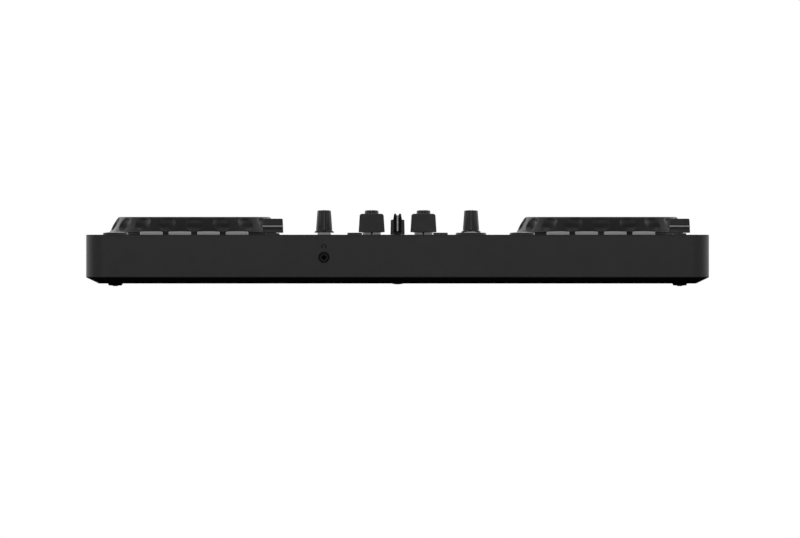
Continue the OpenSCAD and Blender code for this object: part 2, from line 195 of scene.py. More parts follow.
def mouldGrainGroup():
    # Fine spark-eroded texture of moulded plastic: a height, and a fleck that shifts tone.
    group, given, result = newGroup("mouldGrain", [("Scale", 1800.0), ("Fleck Scale", 90.0)],
                                    ["Height", "Fleck"])
    place = addNode(group, "ShaderNodeTexCoord")
    fine = addNode(group, "ShaderNodeTexNoise", Detail=3.0, Roughness=0.6)
    pits = addNode(group, "ShaderNodeTexVoronoi", {"feature": "SMOOTH_F1"})
    blend = addNode(group, "ShaderNodeMath", {"operation": "MULTIPLY_ADD"})
    blend.inputs[1].default_value = 0.6
    fleck = addNode(group, "ShaderNodeTexNoise", Detail=5.0, Roughness=0.65)
    link = group.links.new
    for texture in (fine, pits, fleck):
        link(place.outputs["Object"], texture.inputs["Vector"])
    link(given.outputs["Scale"], fine.inputs["Scale"])
    link(given.outputs["Scale"], pits.inputs["Scale"])
    link(given.outputs["Fleck Scale"], fleck.inputs["Scale"])
    link(pits.outputs["Distance"], blend.inputs[0])
    link(fine.outputs[0], blend.inputs[2])
    link(blend.outputs[0], result.inputs["Height"])
    link(fleck.outputs[0], result.inputs["Fleck"])
    return group


def handlingGroup():
    # Where fingers have left the surface smoother or duller, in patches about a fingertip wide.
    group, given, result = newGroup("handling", [("Scale", 55.0), ("Spread", 0.5)], ["Mask"])
    place = addNode(group, "ShaderNodeTexCoord")
    cloud = addNode(group, "ShaderNodeTexNoise", Detail=4.0, Roughness=0.55, Distortion=0.6)
    edge = addNode(group, "ShaderNodeMapRange", {"interpolation_type": "SMOOTHSTEP"})
    edge.inputs["From Max"].default_value = 0.72
    link = group.links.new
    link(place.outputs["Object"], cloud.inputs["Vector"])
    link(given.outputs["Scale"], cloud.inputs["Scale"])
    link(given.outputs["Spread"], edge.inputs["From Min"])
    link(cloud.outputs[0], edge.inputs["Value"])
    link(edge.outputs["Result"], result.inputs["Mask"])
    return group


def edgeRubAndHighlightGroup():
    # Corners that get touched: brighter where the surface turns sharply, broken up by noise; partly
    # rubbed wear, partly a painted highlight on the edges.
    group, given, result = newGroup("edgeRubAndHighlight", [("Start", 0.52), ("End", 0.62)], ["Mask"])
    shape = addNode(group, "ShaderNodeNewGeometry")
    turn = addNode(group, "ShaderNodeMapRange")
    place = addNode(group, "ShaderNodeTexCoord")
    patch = addNode(group, "ShaderNodeTexNoise", Scale=240.0, Detail=4.0)
    broken = addNode(group, "ShaderNodeMath", {"operation": "MULTIPLY"})
    link = group.links.new
    link(shape.outputs["Pointiness"], turn.inputs["Value"])
    link(given.outputs["Start"], turn.inputs["From Min"])
    link(given.outputs["End"], turn.inputs["From Max"])
    link(place.outputs["Object"], patch.inputs["Vector"])
    link(turn.outputs["Result"], broken.inputs[0])
    link(patch.outputs[0], broken.inputs[1])
    link(broken.outputs[0], result.inputs["Mask"])
    return group


def dustGroup():
    # A thin film on faces that look up, thicker in places.
    group, given, result = newGroup("dustFilm", [("Amount", 0.1), ("Scale", 400.0)], ["Mask"])
    shape = addNode(group, "ShaderNodeNewGeometry")
    parts = addNode(group, "ShaderNodeSeparateXYZ")
    up = addNode(group, "ShaderNodeMapRange")
    up.inputs["From Min"].default_value = 0.6
    place = addNode(group, "ShaderNodeTexCoord")
    specks = addNode(group, "ShaderNodeTexNoise", Detail=8.0, Roughness=0.75)
    sparse = addNode(group, "ShaderNodeMapRange")
    sparse.inputs["From Min"].default_value = 0.42
    sparse.inputs["From Max"].default_value = 0.8
    both = addNode(group, "ShaderNodeMath", {"operation": "MULTIPLY"})
    dosed = addNode(group, "ShaderNodeMath", {"operation": "MULTIPLY"})
    link = group.links.new
    link(shape.outputs["Normal"], parts.inputs[0])
    link(parts.outputs["Z"], up.inputs["Value"])
    link(place.outputs["Object"], specks.inputs["Vector"])
    link(given.outputs["Scale"], specks.inputs["Scale"])
    link(specks.outputs[0], sparse.inputs["Value"])
    link(up.outputs["Result"], both.inputs[0])
    link(sparse.outputs["Result"], both.inputs[1])
    link(both.outputs[0], dosed.inputs[0])
    link(given.outputs["Amount"], dosed.inputs[1])
    link(dosed.outputs[0], result.inputs["Mask"])
    return group


groups = {"grain": mouldGrainGroup(), "handling": handlingGroup(), "rubAndHighlight": edgeRubAndHighlightGroup(),
          "dust": dustGroup()}


def useGroup(tree, key, **values):
    node = tree.nodes.new("ShaderNodeGroup")
    node.node_tree = groups[key]
    for label, value in values.items():
        node.inputs[label].default_value = value
    return node


def blendColour(tree, base, over, mask):
    node = tree.nodes.new("ShaderNodeMix")
    node.data_type = "RGBA"
    for socket, value in ((node.inputs[6], base), (node.inputs[7], over)):
        if isinstance(value, bpy.types.NodeSocket):
            tree.links.new(value, socket)
        else:
            socket.default_value = (*value, 1)
    tree.links.new(mask, node.inputs[0])
    return node.outputs[2]


dustTone = (0.32, 0.31, 0.29)
grainDepth = 0.00006


def surface(name, s):
    # One moulded or metal finish: flecked tone, rubbed edges with a painted edge highlight, dust,
    # uneven gloss and fine relief.
    material = bpy.data.materials.new(name)
    material.use_nodes = True
    tree = material.node_tree
    shader = tree.nodes["Principled BSDF"]
    link = tree.links.new
    grain = useGroup(tree, "grain", Scale=s.get("grainScale", 1800.0))
    handled = useGroup(tree, "handling")
    rubAndHighlight = useGroup(tree, "rubAndHighlight")
    dust = useGroup(tree, "dust", Amount=s["dust"])
    colour = blendColour(tree, s["tone"], s["toneLight"], grain.outputs["Fleck"])
    # Lighter sharp edges: partly rubbed wear, partly painted highlight
    colour = blendColour(tree, colour, s["toneLight"], rubAndHighlight.outputs["Mask"])
    colour = blendColour(tree, colour, dustTone, dust.outputs["Mask"])
    link(colour, shader.inputs["Base Color"])
    gloss = addNode(tree, "ShaderNodeMapRange")
    gloss.inputs["To Min"].default_value, gloss.inputs["To Max"].default_value = s["roughness"]
    link(handled.outputs["Mask"], gloss.inputs["Value"])
    link(gloss.outputs["Result"], shader.inputs["Roughness"])
    relief = addNode(tree, "ShaderNodeBump", Strength=s.get("relief", 0.25), Distance=grainDepth)
    link(grain.outputs["Height"], relief.inputs["Height"])
    link(relief.outputs["Normal"], shader.inputs["Normal"])
    shader.inputs["Metallic"].default_value = s.get("metal", 0.0)
    shader.inputs["Specular IOR Level"].default_value = s.get("specular", 0.5)
    shader.inputs["Sheen Weight"].default_value = s.get("sheen", 0.0)
    shader.inputs["Sheen Roughness"].default_value = 0.4
    shader.inputs["Subsurface Weight"].default_value = s.get("subsurface", 0.0)
    shader.inputs["Subsurface Radius"].default_value = (0.002, 0.002, 0.002)
    shader.inputs["Subsurface Scale"].default_value = 1.0
    return material


finishes = {
    "panel_plastic": {"tone": (0.022, 0.022, 0.023), "toneLight": (0.028, 0.028, 0.030),
                      "roughness": (0.42, 0.34), "specular": 0.25, "dust": 0.04},
    "case_plastic": {"tone": (0.022, 0.022, 0.023), "toneLight": (0.028, 0.028, 0.030),
                     "roughness": (0.36, 0.29), "specular": 0.32, "grainScale": 1400.0,
                     "dust": 0.0},
    "feet_rubber": {"tone": (0.006, 0.006, 0.006), "toneLight": (0.011, 0.011, 0.011),
                    "roughness": (0.8, 0.7), "dust": 0.0},
    "screw_steel": {"tone": (0.10, 0.10, 0.105), "toneLight": (0.18, 0.18, 0.19),
                    "roughness": (0.38, 0.28), "metal": 1.0, "dust": 0.0},
    "board_laminate": {"tone": (0.010, 0.055, 0.028), "toneLight": (0.02, 0.08, 0.04),
                       "roughness": (0.4, 0.3), "dust": 0.0},
    "fader_steel": {"tone": (0.35, 0.35, 0.36), "toneLight": (0.5, 0.5, 0.51),
                    "roughness": (0.42, 0.3), "metal": 1.0, "dust": 0.0},
    "pot_steel": {"tone": (0.3, 0.3, 0.31), "toneLight": (0.46, 0.46, 0.47),
                  "roughness": (0.42, 0.3), "metal": 1.0, "dust": 0.0},
    "bearing_steel": {"tone": (0.45, 0.45, 0.46), "toneLight": (0.6, 0.6, 0.6),
                      "roughness": (0.32, 0.24), "metal": 1.0, "dust": 0.0},
    "jack_plastic": {"tone": (0.009, 0.009, 0.009), "toneLight": (0.013, 0.013, 0.013),
                     "roughness": (0.42, 0.34), "specular": 0.25, "dust": 0.0},
    "rca_plating": {"tone": (0.55, 0.53, 0.47), "toneLight": (0.72, 0.70, 0.64),
                    "roughness": (0.26, 0.16), "metal": 1.0, "relief": 0.06, "dust": 0.0},
    "usb_steel": {"tone": (0.42, 0.42, 0.44), "toneLight": (0.6, 0.6, 0.62),
                  "roughness": (0.3, 0.22), "metal": 1.0, "relief": 0.08, "dust": 0.0},
    "pad_silicone": {"tone": (0.40, 0.40, 0.40), "toneLight": (0.46, 0.46, 0.46),
                     "roughness": (0.62, 0.5), "subsurface": 0.25, "relief": 0.15, "dust": 0.02},
    "light_key": {"tone": (0.32, 0.32, 0.32), "toneLight": (0.38, 0.38, 0.38),
                  "roughness": (0.58, 0.48), "subsurface": 0.2, "relief": 0.12, "dust": 0.02},
    "round_key": {"tone": (0.035, 0.035, 0.037), "toneLight": (0.05, 0.05, 0.052),
                  "roughness": (0.42, 0.32), "dust": 0.03},
    "dark_key": {"tone": (0.016, 0.016, 0.017), "toneLight": (0.023, 0.023, 0.024),
                 "roughness": (0.5, 0.4), "dust": 0.03},
    "jog_rim": {"tone": (0.014, 0.014, 0.015), "toneLight": (0.020, 0.020, 0.021),
                "roughness": (0.46, 0.38), "specular": 0.32, "dust": 0.03},
    "jog_top": {"tone": (0.018, 0.018, 0.019), "toneLight": (0.025, 0.025, 0.027),
                "roughness": (0.4, 0.3), "dust": 0.05},
    "knob_rubber": {"tone": (0.010, 0.010, 0.011), "toneLight": (0.016, 0.016, 0.017),
                    "roughness": (0.32, 0.25), "specular": 0.45, "sheen": 0.06, "dust": 0.02},
    "cap_plastic": {"tone": (0.018, 0.018, 0.019), "toneLight": (0.026, 0.026, 0.027),
                    "roughness": (0.4, 0.3), "specular": 0.25, "dust": 0.03},
}
materials = {name: surface(name, s) for name, s in finishes.items()}
inkLight = surface("inkLight", {"tone": (0.48, 0.48, 0.49), "toneLight": (0.56, 0.56, 0.57),
                                "roughness": (0.5, 0.4), "relief": 0.05, "dust": 0.0})
# Light grey painted highlight for the ledge of the tempo caps
paintedHighlightGrey = surface("paintedHighlightGrey", {"tone": (0.32, 0.32, 0.325), "toneLight": (0.37, 0.37, 0.375),
                            "roughness": (0.5, 0.4), "relief": 0.05, "dust": 0.0})
insertRed = surface("insertRed", {"tone": (0.36, 0.012, 0.012), "toneLight": (0.44, 0.02, 0.02),
                                  "roughness": (0.4, 0.3), "relief": 0.1, "dust": 0.0})
insertWhite = surface("insertWhite", {"tone": (0.62, 0.61, 0.58), "toneLight": (0.70, 0.69, 0.66),
                                      "roughness": (0.4, 0.3), "relief": 0.1, "dust": 0.0})
# Matt black for the printed headphone mark, and for painted shade on the crossfader cap and in the
# jack
inkDarkAndPaintedShade = surface("inkDarkAndPaintedShade", {"tone": (0.004, 0.004, 0.004), "toneLight": (0.007, 0.007, 0.007),
                              "roughness": (0.7, 0.6), "specular": 0.08, "relief": 0.05,
                              "dust": 0.0})
print("finishes ready:", len(materials))

# Mesh helpers


def addPiece(name, mesh, body, slot, material=None, stands=(), angle=35, keepFlat=False):
    mesh.materials.clear()
    mesh.materials.append(material or materials[slot])
    mesh.shade_smooth()
    mesh.set_sharp_from_angle(angle=math.radians(angle))
    piece = bpy.data.objects.new(name, mesh)
    bpy.context.scene.collection.objects.link(piece)
    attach(piece, body)
    if stands:
        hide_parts(*stands)
    if keepFlat:
        even = piece.modifiers.new("even", "WEIGHTED_NORMAL")  # large faces stay flat beside bevels
        even.keep_sharp = True
    return piece


def softened(node, width, segments=2, turn=30, flat=1.0, seam=None):
    # The node's own shape with its triangles merged into faces and its sharp edges rounded.
    # Edges at the height of a seam get only a fine break.
    bm = bmesh.new()
    bm.from_mesh(nodes[node].data)
    bmesh.ops.remove_doubles(bm, verts=bm.verts, dist=1e-6)
    bmesh.ops.dissolve_limit(bm, angle_limit=math.radians(flat), verts=bm.verts, edges=bm.edges)
    sharp = [e for e in bm.edges
             if len(e.link_faces) == 2 and e.calc_face_angle(0) > math.radians(turn)]
    atSeam = [e for e in sharp if seam and all(abs(v.co.z / mm - seam) < 0.01 for v in e.verts)]
    for edges, offset in (([e for e in sharp if e not in atSeam], width), (atSeam, width * 0.2)):
        bmesh.ops.bevel(bm, geom=edges, offset=offset * mm, offset_type="OFFSET", segments=segments,
                        profile=0.5, affect="EDGES", clamp_overlap=False, loop_slide=True)
    mesh = bpy.data.meshes.new(node)
    bm.to_mesh(mesh)
    bm.free()
    return mesh


def meshFrom(name, points, faces):
    mesh = bpy.data.meshes.new(name)
    mesh.from_pydata([tuple(c * mm for c in p) for p in points], [], faces)
    mesh.validate()
    return mesh


def lathe(name, profile, steps, centre, reach=None):
    # Turns (radius, height) points round a vertical axis; reach(angle, radius, height) may reshape.
    points, faces, rows = [], [], []
    for radius, height in profile:
        if radius < 1e-6:
            rows.append([len(points)])
            points.append((centre[0], centre[1], height))
            continue
        rows.append(list(range(len(points), len(points) + steps)))
        for i in range(steps):
            a = 2 * math.pi * i / steps
            r, z = reach(a, radius, height) if reach else (radius, height)
            points.append((centre[0] + r * math.cos(a), centre[1] + r * math.sin(a), z))
    for low, high in zip(rows, rows[1:]):
        for i in range(steps):
            j = (i + 1) % steps
            if len(low) == 1:
                faces.append((low[0], high[j], high[i]))
            elif len(high) == 1:
                faces.append((low[i], low[j], high[0]))
            else:
                faces.append((low[i], low[j], high[j], high[i]))
    return meshFrom(name, points, faces)


def roundedLoop(half, radius, inset, height, centre, arcSteps=7):
    hx, hy = half[0] - inset, half[1] - inset
    r = max(min(radius - inset, hx - 0.05, hy - 0.05), 0.15)
    loop = []
    for turn, (sx, sy) in enumerate(((1, 1), (-1, 1), (-1, -1), (1, -1))):
        for k in range(arcSteps + 1):
            a = math.pi / 2 * (turn + k / arcSteps)
            loop.append((centre[0] + sx * (hx - r) + r * math.cos(a),
                         centre[1] + sy * (hy - r) + r * math.sin(a), height))
    return loop


def loft(name, loops):
    points, faces = [], []
    count = len(loops[0])
    for loop in loops:
        points += loop
    for k in range(len(loops) - 1):
        for i in range(count):
            j = (i + 1) % count
            a, b = k * count, (k + 1) * count
            faces.append((a + i, a + j, b + j, b + i))
    faces.append(tuple(reversed(range(count))))
    faces.append(tuple(range(len(points) - count, len(points))))
    return meshFrom(name, points, faces)


def fillet(radius, top, steps=5):
    # (inset, height) pairs of a rounded top edge
    return [(radius * (1 - math.cos(math.pi / 2 * k / steps)),
             top - radius + radius * math.sin(math.pi / 2 * k / steps)) for k in range(steps + 1)]


# Case and panel

caseEdge = {"panel": 0.28, "case": 0.35, "screws": 0.12, "usb": 0.06}

addPiece("panelShell", softened("top_panel", caseEdge["panel"], seam=seamHeight), "case",
         "panel_plastic", stands=["top_panel"], keepFlat=True)
addPiece("caseTub", softened("bottom_case", caseEdge["case"], seam=seamHeight), "case",
         "case_plastic", stands=["bottom_case"], keepFlat=True)
addPiece("screws", softened("case_screws", caseEdge["screws"]), "case", "screw_steel",
         stands=["case_screws"], keepFlat=True)
for node, slot in (("circuit_boards", "board_laminate"), ("fader_units", "fader_steel"),
                   ("pot_bodies", "pot_steel"), ("jog_bearings", "bearing_steel")):
    nodes[node].data.materials.clear()
    nodes[node].data.materials.append(materials[slot])
print("case and panel done")

footShape = {"rest": 0.4, "padTop": 1.65, "base": 4.65, "tip": 3.9, "nub": 1.6,
             "domeRadius": 3.8, "domeDrop": 0.55}


def footProfile(f):
    return [(0, f["padTop"] + 0.1), (f["base"], f["padTop"] + 0.1), (f["base"], f["padTop"] - 0.1),
            (f["tip"] + 0.25, f["rest"] + 0.2), (f["tip"], f["rest"] + 0.05),
            (f["tip"] - 0.25, f["rest"]), (f["nub"] + 0.3, f["rest"]), (f["nub"], f["rest"] - 0.08),
            (f["nub"] - 0.08, 0.06), (f["nub"] - 0.25, 0.0), (0, 0.0)]


def domeProfile(f, steps=8):
    # The shallow dome under the middle, which stays clear of the table
    rows = [(f["domeRadius"] * (1 - k / steps),
             f["padTop"] - f["domeDrop"] * math.sin(math.pi / 2 * k / steps))
            for k in range(steps + 1)]
    return [(0, f["padTop"] + 0.1), (f["domeRadius"], f["padTop"] + 0.1)] + rows


def joinMeshes(name, meshes):
    bm = bmesh.new()
    for mesh in meshes:
        bm.from_mesh(mesh)
    joined = bpy.data.meshes.new(name)
    bm.to_mesh(joined)
    bm.free()
    return joined


feetEnd = spanOf("rubber_feet")[1]
footX, footY = feetEnd.x - footShape["base"], feetEnd.y - footShape["base"]
feet = [lathe("foot", footProfile(footShape), 48, (x * footX, y * footY))
        for x in (-1, 1) for y in (-1, 1)]
feet.append(lathe("foot", domeProfile(footShape), 48, (0, 0)))
addPiece("feet", joinMeshes("feet", feet), "case", "feet_rubber", stands=["rubber_feet"])
print("feet done")

# Jog wheels

jog = {
    "topRadius": 47.6, "footRadius": 53.0, "rise": 11.2, "dimples": 18,
    "dimpleHalfWidth": 5.8, "dimpleHalfHeight": 4.7, "dimpleDepth": 2.4,
    "dimpleRow": 0.6,  # share of the rise
    "dimpleFrom": 1.5, "dimpleRound": (1.9, 0.9),  # how round the bowl is, middle and edge
    "around": 720, "sideSteps": 34, "plateRadius": 45.55, "bulge": 0.2,
    "sideLow": (0.45, 2.75),  # in from the foot's radius, up from the panel
    "sideHigh": (0.75, 1.0),  # out from the top's radius, down from the top
    "footGap": 0.3, "web": 4.2, "wall": 4.5, "hub": 8, "bore": 4.05,
}


def jogSide(t, j):
    # The wheel's outer face from foot (0) to top (1), very slightly convex.
    lowR, lowZ = j["footRadius"] - j["sideLow"][0], j["sideLow"][1]
    highR, highZ = j["topRadius"] + j["sideHigh"][0], j["rise"] - j["sideHigh"][1]
    bulge = j["bulge"] * math.sin(math.pi * t)
    return lowR + (highR - lowR) * t + bulge, panelTop + lowZ + (highZ - lowZ) * t + bulge * 0.5


def jogProfile(j):
    foot, top, web = panelTop + j["footGap"], panelTop + j["rise"], panelTop + j["web"]
    rim, wide, inner = j["topRadius"], j["footRadius"], j["footRadius"] - j["wall"]
    hub, bore = j["hub"], j["bore"]
    outer = [(inner, foot), (wide - 1.35, foot), (wide - 1.2, foot + 0.15),
             (wide - 1.2, foot + 0.9), (wide - 0.35, foot + 0.9), (wide - 0.1, foot + 1.05),
             (wide, foot + 1.35), (wide - 0.06, foot + 1.9), (wide - 0.25, foot + 2.2)]
    outer += [jogSide(k / j["sideSteps"], j) for k in range(j["sideSteps"] + 1)]
    edge = [(rim + 0.5, top - 0.72), (rim + 0.2, top - 0.42), (rim - 0.15, top - 0.16),
            (rim - 0.5, top - 0.03), (rim - 0.8, top), (rim - 1.5, top),
            (rim - 1.72, top - 0.08), (rim - 1.8, top - 0.3), (rim - 1.8, top - 2.5)]
    under = [(rim - 4.2, top - 2.5), (rim - 4.2, web + 2), (hub, web + 2), (hub, web + 2.4),
             (bore, web + 2.4), (bore, web - 2.8), (hub, web - 2.8), (hub, web), (inner, web),
             (inner, foot)]
    return outer + edge + under


def jogReach(j):
    rowHeight = panelTop + j["rise"] * j["dimpleRow"]
    lean = math.atan2(j["footRadius"] - j["topRadius"], j["rise"])
    middle, edge = j["dimpleRound"]

    def reach(angle, radius, height):
        up = (height - panelTop) / j["rise"]
        outside = j["footRadius"] + (j["topRadius"] - j["footRadius"]) * up
        if radius < outside - 1 or height < panelTop + j["dimpleFrom"]:  # only the outer face
            return radius, height
        pitch = 2 * math.pi / j["dimples"]
        away = (angle + math.pi / 2 + pitch / 2) % pitch - pitch / 2
        across = away * radius / j["dimpleHalfWidth"]
        along = (height - rowHeight) / math.cos(lean) / j["dimpleHalfHeight"]
        spread = across * across + along * along
        if spread >= 1:
            return radius, height
        depth = j["dimpleDepth"] * (math.sqrt(middle - spread) - math.sqrt(edge)) / (
            math.sqrt(middle) - math.sqrt(edge))
        return radius - depth * math.cos(lean), height - depth * math.sin(lean)

    return reach


def plateProfile(j):
    top = panelTop + j["rise"] - 0.2
    low = panelTop + j["rise"] - 2.5
    edge = j["plateRadius"]
    return [(0, low), (edge, low), (edge, top - 0.5), (edge - 0.1, top - 0.35),
            (edge - 0.35, top - 0.22), (edge - 3.2, top - 0.2), (edge - 3.5, top - 0.42),
            (edge - 4.1, top - 0.42),
            (edge - 4.4, top - 0.2), (edge - 6, top - 0.04), (edge - 6.4, top),
            (30, top), (29.8, top - 0.14), (29.4, top - 0.14), (29.2, top),
            (14.6, top), (14.3, top - 0.3), (13.7, top - 0.3), (13.4, top - 0.02),
            (12, top), (6, top + 0.02), (0, top + 0.03)]


spun = {"rings": 2600.0, "relief": 0.35, "depth": 0.00004}


def spunMaterial(name, base):
    # Turned plastic: very fine rings round the wheel's own axis, the same on both decks.
    material = surface(name, finishes[base])
    tree = material.node_tree
    link = tree.links.new
    hub = middleOf("jog_plate_r") * mm
    grainBump = next(node for node in tree.nodes if node.type == "BUMP")
    place = addNode(tree, "ShaderNodeTexCoord")
    parts = addNode(tree, "ShaderNodeSeparateXYZ")
    folded = addNode(tree, "ShaderNodeMath", {"operation": "ABSOLUTE"})
    flat = addNode(tree, "ShaderNodeCombineXYZ")
    distance = addNode(tree, "ShaderNodeVectorMath", {"operation": "DISTANCE"})
    distance.inputs[1].default_value = (hub.x, hub.y, 0)
    rings = addNode(tree, "ShaderNodeTexNoise", {"noise_dimensions": "1D"},
                    Scale=spun["rings"], Detail=2.0)
    bump = addNode(tree, "ShaderNodeBump", Strength=spun["relief"], Distance=spun["depth"])
    link(place.outputs["Object"], parts.inputs[0])
    link(parts.outputs["X"], folded.inputs[0])
    link(folded.outputs[0], flat.inputs["X"])
    link(parts.outputs["Y"], flat.inputs["Y"])
    link(flat.outputs[0], distance.inputs[0])
    link(distance.outputs["Value"], rings.inputs["W"])
    link(rings.outputs[0], bump.inputs["Height"])
    link(grainBump.outputs["Normal"], bump.inputs["Normal"])
    link(bump.outputs["Normal"], tree.nodes["Principled BSDF"].inputs["Normal"])
    return material


spunTop = spunMaterial("spunTop", "jog_top")
for side in sides:
    hub = middleOf("jog_plate_" + side)
    body = "jog_wheel_" + side
    addPiece("jogRim_" + side,
             lathe("jogRim", jogProfile(jog), jog["around"], (hub.x, hub.y), jogReach(jog)),
             body, "jog_rim", stands=["jog_ring_" + side], angle=32)
    addPiece("jogTop_" + side, lathe("jogTop", plateProfile(jog), 256, (hub.x, hub.y)),
             body, "jog_top", spunTop, stands=["jog_plate_" + side])
print("jog wheels done")

# Pads and keys

pressParts = {"flangeTop": 0.35, "flangeDepth": 1.2, "plungerDrop": 0.7, "flangeReach": 0.9,
              "stemInset": 1.5, "stemRadius": 1.5}
padShape = {"half": (7.1, 7.1), "corner": 1.5, "edge": 0.55, "crown": 0.12}
keyShapes = {
    "channel_cue_button": {"half": (5.7, 3.0), "corner": 1.0, "edge": 0.35, "crown": 0.05},
    "master_cue_button": {"half": (4.2, 3.0), "corner": 1.0, "edge": 0.35, "crown": 0.05},
    "load_button": {"half": (4.6, 4.5), "corner": 1.0, "edge": 0.3, "crown": 0.04},
}
roundShapes = {
    "play_button": {"radius": 6.25, "dome": 0.45, "slot": "round_key"},
    "cue_button": {"radius": 6.25, "dome": 0.45, "slot": "round_key"},
    "sync_button": {"radius": 4.4, "dome": 0.3, "slot": "dark_key"},
    "shift_button": {"radius": 4.4, "dome": 0.3, "slot": "dark_key"},
    "smart_button": {"radius": 5.6, "dome": 0.85, "slot": "light_key"},
}


def keyMesh(node, s):
    spot, top, p = middleOf(node), topOf(node), pressParts
    flangeTop = panelUnder - p["flangeTop"]
    flangeLow = flangeTop - p["flangeDepth"]
    plunger = flangeLow - p["plungerDrop"]
    stem = min(s["half"]) - p["stemInset"]
    rows = [(stem, plunger), (stem, flangeLow), (-p["flangeReach"], flangeLow),
            (-p["flangeReach"], flangeTop), (0, flangeTop)]
    rows += fillet(s["edge"], top - s["crown"])
    reach = min(s["half"])
    rows += [(s["edge"] + (reach - s["edge"] - 0.3) * k / 5,
              top - s["crown"] * (1 - k / 5) ** 2) for k in range(1, 6)]
    return loft(node, [roundedLoop(s["half"], s["corner"], inset, height, spot)
                       for inset, height in rows])


def roundKeyMesh(node, s):
    spot, top, p = middleOf(node), topOf(node), pressParts
    flangeTop = panelUnder - p["flangeTop"]
    flangeLow = flangeTop - p["flangeDepth"]
    r, edge = s["radius"], 0.3
    rimTop = top - s["dome"]
    plunger = flangeLow - p["plungerDrop"]
    stem, flange = p["stemRadius"], r + p["flangeReach"]
    profile = [(0, plunger), (stem, plunger), (stem, flangeLow), (flange, flangeLow),
               (flange, flangeTop), (r, flangeTop)]
    profile += [(r - inset, height) for inset, height in fillet(edge, rimTop + 0.02, 4)]
    crownRadius = r - edge
    profile += [(crownRadius * (1 - k / 8), rimTop + 0.02
                 + (s["dome"] - 0.02) * (1 - (1 - k / 8) ** 2)) for k in range(1, 9)]
    return lathe(node, profile, 96, spot)


for side in sides:
    for i in range(1, 9):
        node = f"pad_{side}_{i}"
        addPiece("padTop_" + node[4:], keyMesh(node, padShape), node, "pad_silicone", stands=[node])
    for kind in ("channel_cue_button", "load_button"):
        node = f"{kind}_{side}"
        slot = "light_key" if kind.startswith("channel") else "dark_key"
        addPiece(node + "_key", keyMesh(node, keyShapes[kind]), node, slot, stands=[node])
    for kind in ("play_button", "cue_button", "sync_button", "shift_button"):
        node = f"{kind}_{side}"
        addPiece(node + "_key", roundKeyMesh(node, roundShapes[kind]), node,
                 roundShapes[kind]["slot"], stands=[node])
addPiece("master_cue_key", keyMesh("master_cue_button", keyShapes["master_cue_button"]),
         "master_cue_button", "light_key", stands=["master_cue_button"])
addPiece("smart_key", roundKeyMesh("smart_button", roundShapes["smart_button"]),
         "smart_button", roundShapes["smart_button"]["slot"], stands=["smart_button"])
print("pads and keys done")

# Knobs

knobShape = {
    "skirt": 6.3, "base": 5.1, "top": 4.25, "gripLow": 2.5, "rise": 15.6, "crownRise": 0.7,
    "flutes": 12, "fluteDepth": 0.6, "fluteShare": 0.6, "shaftLow": -7.2,
}


def knobProfile(k):
    low, crown = panelTop + k["gripLow"], panelTop + k["rise"] - k["crownRise"]
    skirtLow = panelTop + 1.2
    rows = [(0, panelTop + k["shaftLow"]), (3.0, panelTop + k["shaftLow"]),
            (3.0, skirtLow), (k["skirt"] - 0.15, skirtLow), (k["skirt"], skirtLow + 0.12),
            (k["skirt"] - 0.03, skirtLow + 0.4), (k["skirt"] - 0.22, skirtLow + 0.85),
            (k["skirt"] - 0.55, skirtLow + 1.1), (k["base"] + 0.25, low - 0.02),
            (k["base"] + 0.08, low + 0.2), (k["base"], low + 0.5)]
    rows += [(k["base"] + (k["top"] - k["base"]) * i / 16, low + 0.5 + (crown - low - 0.5) * i / 16)
             for i in range(1, 17)]
    rows += [(k["top"] - 0.1, crown + 0.14), (k["top"] - 0.32, crown + 0.27),
             (k["top"] - 0.7, crown + 0.36), (k["top"] - 1.6, crown + 0.5),
             (k["top"] - 2.8, crown + 0.62), (0, crown + 0.68)]
    return rows


def knobReach(k):
    low = panelTop + k["gripLow"]

    def reach(angle, radius, height):
        if radius < k["top"] - 0.8 or height < low + 0.35:
            return radius, height
        pitch = 2 * math.pi / k["flutes"]
        away = abs((angle + pitch) % pitch - pitch / 2) / (pitch / 2)  # 0 in a flute's middle
        if away >= k["fluteShare"]:
            return radius, height
        fade = min(1, (height - low - 0.3) / 1.2)
        depth = k["fluteDepth"] * math.cos(math.pi / 2 * away / k["fluteShare"]) * math.sqrt(fade)
        return radius - depth, height

    return reach


def ribbon(name, path, halfWidth, along, thickness=0.05):
    # A thin strip that follows (forward, height) points, placed across the direction along.
    origin, forward = Vector(along[0]), Vector(along[1]).normalized()
    across = Vector((0, 0, 1)).cross(forward) * halfWidth
    points = []
    for k, (f, z) in enumerate(path):
        before, after = path[max(k - 1, 0)], path[min(k + 1, len(path) - 1)]
        df, dz = after[0] - before[0], after[1] - before[1]
        size = math.hypot(df, dz)
        normal = forward * (-dz / size) + Vector((0, 0, df / size))
        base = origin + forward * f + Vector((0, 0, z))
        for lift in (-thickness, thickness):
            for sign in (-1, 1):
                points.append(base + normal * lift + across * sign)
    faces = [(0, 1, 3, 2)]
    for k in range(len(path) - 1):
        a, b = 4 * k, 4 * k + 4
        faces += [(a + 2, a + 3, b + 3, b + 2), (a + 1, a, b, b + 1), (a, a + 2, b + 2, b),
                  (a + 3, a + 1, b + 1, b + 3)]
    last = 4 * (len(path) - 1)
    faces.append((last + 2, last + 3, last + 1, last))
    return meshFrom(name, points, faces)


def pointerMesh(spot, k):
    crown = panelTop + k["rise"] - k["crownRise"]
    path = [(1.4, crown + 0.63), (k["top"] - 1.6, crown + 0.51), (k["top"] - 0.7, crown + 0.38),
            (k["top"] - 0.3, crown + 0.27), (k["top"] - 0.06, crown + 0.12),
            (k["top"] + 0.05, crown - 0.4), (k["top"] + 0.36, crown - 5.5)]
    return ribbon("pointer", path, 0.4, ((spot.x, spot.y, 0), (0, 1, 0)))


